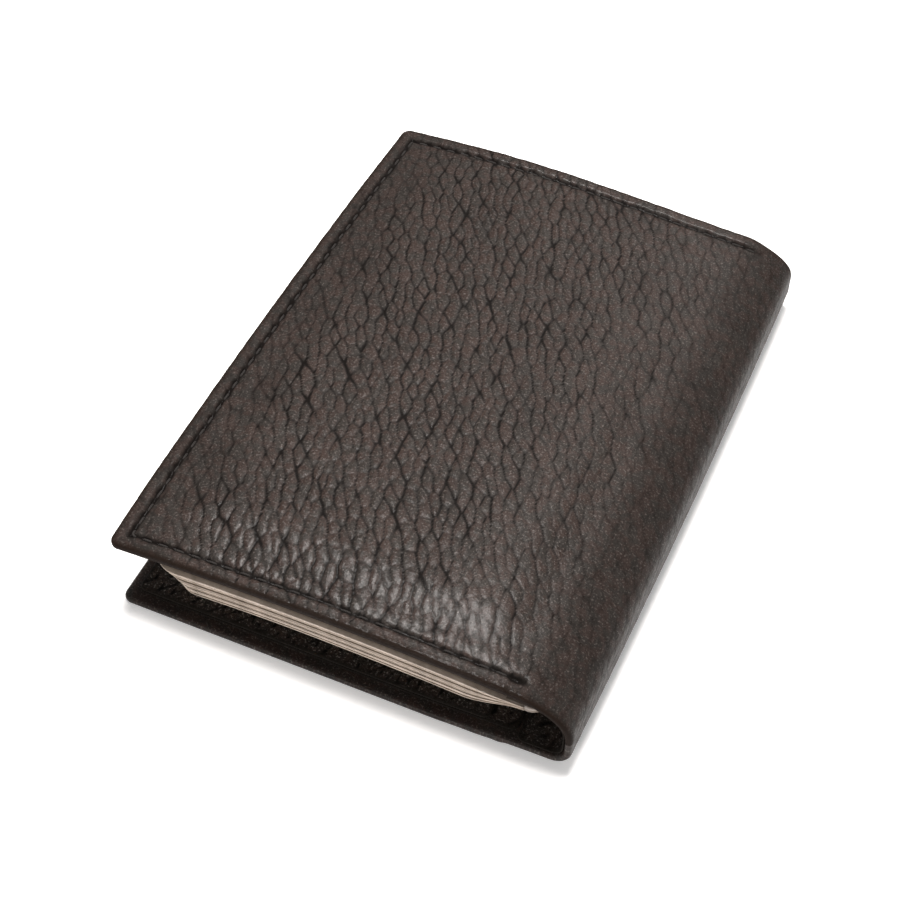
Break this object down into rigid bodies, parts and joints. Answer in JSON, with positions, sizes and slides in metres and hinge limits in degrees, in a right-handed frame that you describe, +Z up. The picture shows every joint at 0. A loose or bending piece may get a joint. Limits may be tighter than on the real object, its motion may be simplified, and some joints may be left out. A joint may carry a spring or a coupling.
{
  "type": "business card case",
  "caption": "Folding leather business card case: two stitched covers on a leather spine, with clear card sleeves bound inside the front cover.",
  "frame": {"origin": "middle of the footprint on the table, with the case closed and lying on its back cover", "axes": "+X from the fore-edge to the spine, +Y along the spine, +Z up from the back cover to the front cover"},
  "size_m": [0.075, 0.105, 0.015],
  "materials": {
    "leather": "dark brown pebbled leather, semi-gloss",
    "leather_lining": "dark brown leather, smooth to finely pebbled, satin",
    "board": "grey board, matt",
    "thread": "waxed thread, matt",
    "clear_film": "clear flexible film, glossy",
    "welded_film": "clear film welded into one edge, glossy"
  },
  "bodies": {
    "back_cover": {"back_leather": "leather", "back_board": "board", "back_lining": "leather_lining", "back_slip_pocket": "leather_lining", "back_stitching": "thread"},
    "spine": {"spine_leather": "leather", "spine_lining": "leather_lining"},
    "front_cover": {"front_leather": "leather", "front_board": "board", "front_lining": "leather_lining", "front_stitching": "thread", "binding_strip": "leather_lining", "sleeve_welded_edge": "welded_film"},
    "sleeve_1": {"sleeve_1_front_film": "clear_film", "sleeve_1_back_film": "clear_film"},
    "sleeve_2": {"sleeve_2_front_film": "clear_film", "sleeve_2_back_film": "clear_film"},
    "sleeve_3": {"sleeve_3_front_film": "clear_film", "sleeve_3_back_film": "clear_film"},
    "sleeve_4": {"sleeve_4_front_film": "clear_film", "sleeve_4_back_film": "clear_film"},
    "sleeve_5": {"sleeve_5_front_film": "clear_film", "sleeve_5_back_film": "clear_film"},
    "sleeve_6": {"sleeve_6_front_film": "clear_film", "sleeve_6_back_film": "clear_film"},
    "sleeve_7": {"sleeve_7_front_film": "clear_film", "sleeve_7_back_film": "clear_film"},
    "sleeve_8": {"sleeve_8_front_film": "clear_film", "sleeve_8_back_film": "clear_film"}
  },
  "joints": [
    {"name": "spine_hinge", "type": "hinge", "parent": "back_cover", "child": "spine", "pos_m": [0.0355, 0, 0.002], "axis": [0, 1, 0], "range_deg": [0, 90]},
    {"name": "front_hinge", "type": "hinge", "parent": "spine", "child": "front_cover", "pos_m": [0.0355, 0, 0.013], "axis": [0, 1, 0], "range_deg": [0, 90]},
    {"name": "sleeve_1_hinge", "type": "hinge", "parent": "front_cover", "child": "sleeve_1", "pos_m": [0.0255, 0, 0.01305], "axis": [0, -1, 0], "range_deg": [0, 170]},
    {"name": "sleeve_2_hinge", "type": "hinge", "parent": "front_cover", "child": "sleeve_2", "pos_m": [0.026, 0, 0.01255], "axis": [0, -1, 0], "range_deg": [0, 170]},
    {"name": "sleeve_3_hinge", "type": "hinge", "parent": "front_cover", "child": "sleeve_3", "pos_m": [0.0265, 0, 0.01205], "axis": [0, -1, 0], "range_deg": [0, 170]},
    {"name": "sleeve_4_hinge", "type": "hinge", "parent": "front_cover", "child": "sleeve_4", "pos_m": [0.027, 0, 0.01155], "axis": [0, -1, 0], "range_deg": [0, 170]},
    {"name": "sleeve_5_hinge", "type": "hinge", "parent": "front_cover", "child": "sleeve_5", "pos_m": [0.0275, 0, 0.01105], "axis": [0, -1, 0], "range_deg": [0, 170]},
    {"name": "sleeve_6_hinge", "type": "hinge", "parent": "front_cover", "child": "sleeve_6", "pos_m": [0.028, 0, 0.01055], "axis": [0, -1, 0], "range_deg": [0, 170]},
    {"name": "sleeve_7_hinge", "type": "hinge", "parent": "front_cover", "child": "sleeve_7", "pos_m": [0.0285, 0, 0.01005], "axis": [0, -1, 0], "range_deg": [0, 170]},
    {"name": "sleeve_8_hinge", "type": "hinge", "parent": "front_cover", "child": "sleeve_8", "pos_m": [0.029, 0, 0.00955], "axis": [0, -1, 0], "range_deg": [0, 170]}
  ],
  "couplings": [
    {"joint": "sleeve_1_hinge", "follows": "front_hinge", "ratio": 0.11111},
    {"joint": "sleeve_2_hinge", "follows": "front_hinge", "ratio": 0.22222},
    {"joint": "sleeve_3_hinge", "follows": "front_hinge", "ratio": 0.33333},
    {"joint": "sleeve_4_hinge", "follows": "front_hinge", "ratio": 0.44444},
    {"joint": "sleeve_5_hinge", "follows": "front_hinge", "ratio": 0.55556},
    {"joint": "sleeve_6_hinge", "follows": "front_hinge", "ratio": 0.66667},
    {"joint": "sleeve_7_hinge", "follows": "front_hinge", "ratio": 0.77778},
    {"joint": "sleeve_8_hinge", "follows": "front_hinge", "ratio": 0.88889}
  ]
}
